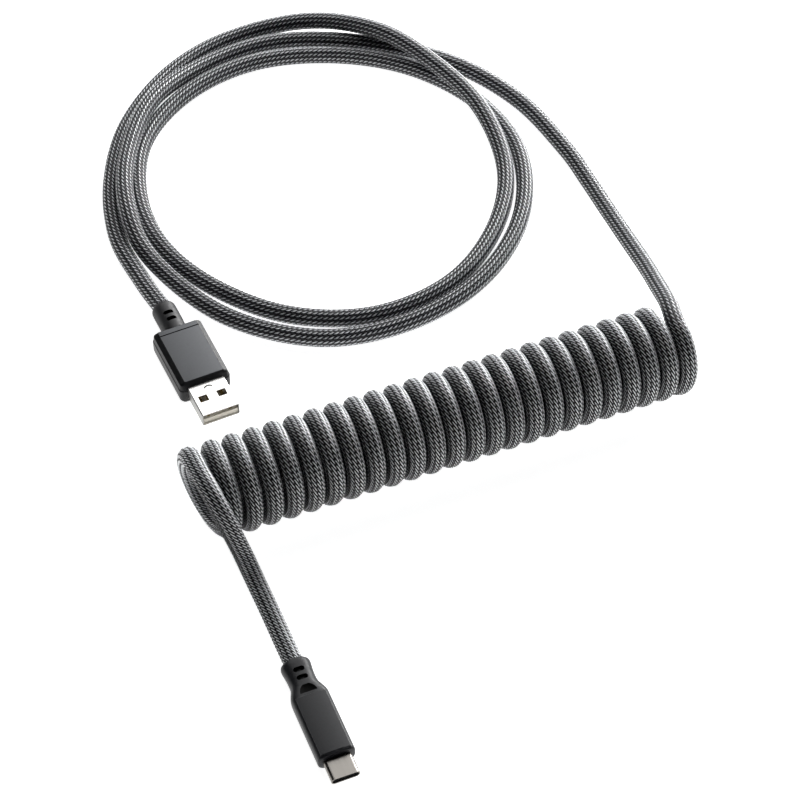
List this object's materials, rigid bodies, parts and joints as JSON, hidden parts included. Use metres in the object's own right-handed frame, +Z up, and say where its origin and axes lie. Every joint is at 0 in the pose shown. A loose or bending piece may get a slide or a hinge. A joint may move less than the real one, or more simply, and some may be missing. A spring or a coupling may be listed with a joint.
{
  "type": "coiled keyboard cable",
  "caption": "Braid-sleeved cable with a long looped host lead ending in a USB-A plug, a spring-like coil that stretches, and a short device lead ending in a USB-C plug.",
  "frame": {"origin": "on the table, at the centre of the box that holds the two plugs as they lie", "axes": "+X along the coil from its device end to its host end, both plugs point along -Y (the USB-A plug turned 3 degrees), +Z up"},
  "size_m": [0.1686, 0.2964, 0.0294],
  "materials": {
    "plug_shell": "nickel plate, satin",
    "shield": "plated sheet",
    "gold_contact": "gold plate",
    "tongue_a": "moulded, matt",
    "tongue_c": "moulded, matt",
    "housing_a": "overmoulded, fine matt grain",
    "housing_c": "overmoulded, satin",
    "relief": "overmoulded, matt",
    "inner_mold": "natural",
    "conductor": "insulated, gloss",
    "jacket": "extruded, matt",
    "card": "solder mask",
    "chip": "fired ceramic",
    "spring_steel": "rolled",
    "sleeve": "braided filament sleeve, black shot with silver"
  },
  "bodies": {
    "host_side": {"a_shell": "plug_shell", "a_insulator": "tongue_a", "a_contacts": "gold_contact", "a_rear_shield": "shield", "a_inner_mold": "inner_mold", "a_wires": "conductor", "a_jacket": "jacket", "a_housing": "housing_a", "a_strain_relief": "relief", "host_lead": "sleeve", "coil": "sleeve"},
    "device_side": {"device_lead": "sleeve", "c_strain_relief": "relief", "c_housing": "housing_c", "c_jacket": "jacket", "c_wires": "conductor", "c_inner_mold": "inner_mold", "c_rear_shield": "shield", "c_resistor": "chip", "c_paddle_card": "card", "c_latch_spring": "spring_steel", "c_emi_springs": "spring_steel", "c_contacts_upper": "gold_contact", "c_contacts_lower": "gold_contact", "c_insulator": "tongue_c", "c_shell": "plug_shell"}
  },
  "joints": [
    {"name": "coil_stretch", "type": "slide", "parent": "host_side", "child": "device_side", "axis": [-1, 0, 0], "range_m": [0, 0.15], "stiffness_N_per_m": 15, "deforming": ["coil"]}
  ]
}
